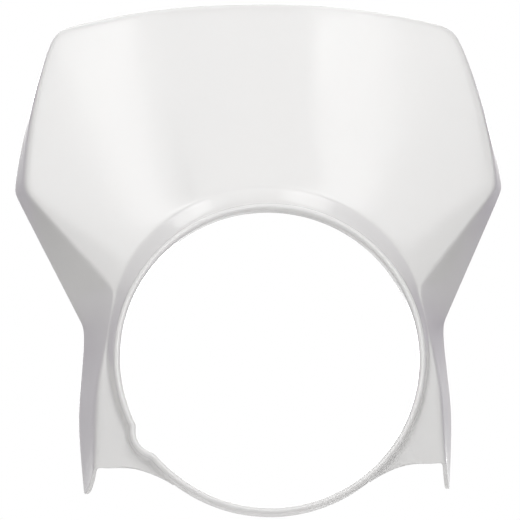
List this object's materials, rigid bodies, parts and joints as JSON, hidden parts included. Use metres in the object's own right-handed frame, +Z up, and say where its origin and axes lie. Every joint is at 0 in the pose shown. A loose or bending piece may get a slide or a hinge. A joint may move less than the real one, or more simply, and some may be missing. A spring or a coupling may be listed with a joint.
{
  "type": "headlight cowl",
  "caption": "White moulded cowl with a round lamp ring, a tall swept-back visor above it, turned-back side walls and two short legs.",
  "frame": {"origin": "centre of the lamp ring, where the straight wall of its bore begins behind the rounded lip", "axes": "+Y runs along the lamp's axis towards the back, so the front faces -Y; +Z is up; +X is on the right of someone who looks at the front"},
  "size_m": [0.2928, 0.0921, 0.3146],
  "materials": {
    "white_plastic": "gloss"
  },
  "bodies": {
    "root": {"cowl": "white_plastic"}
  },
  "joints": []
}
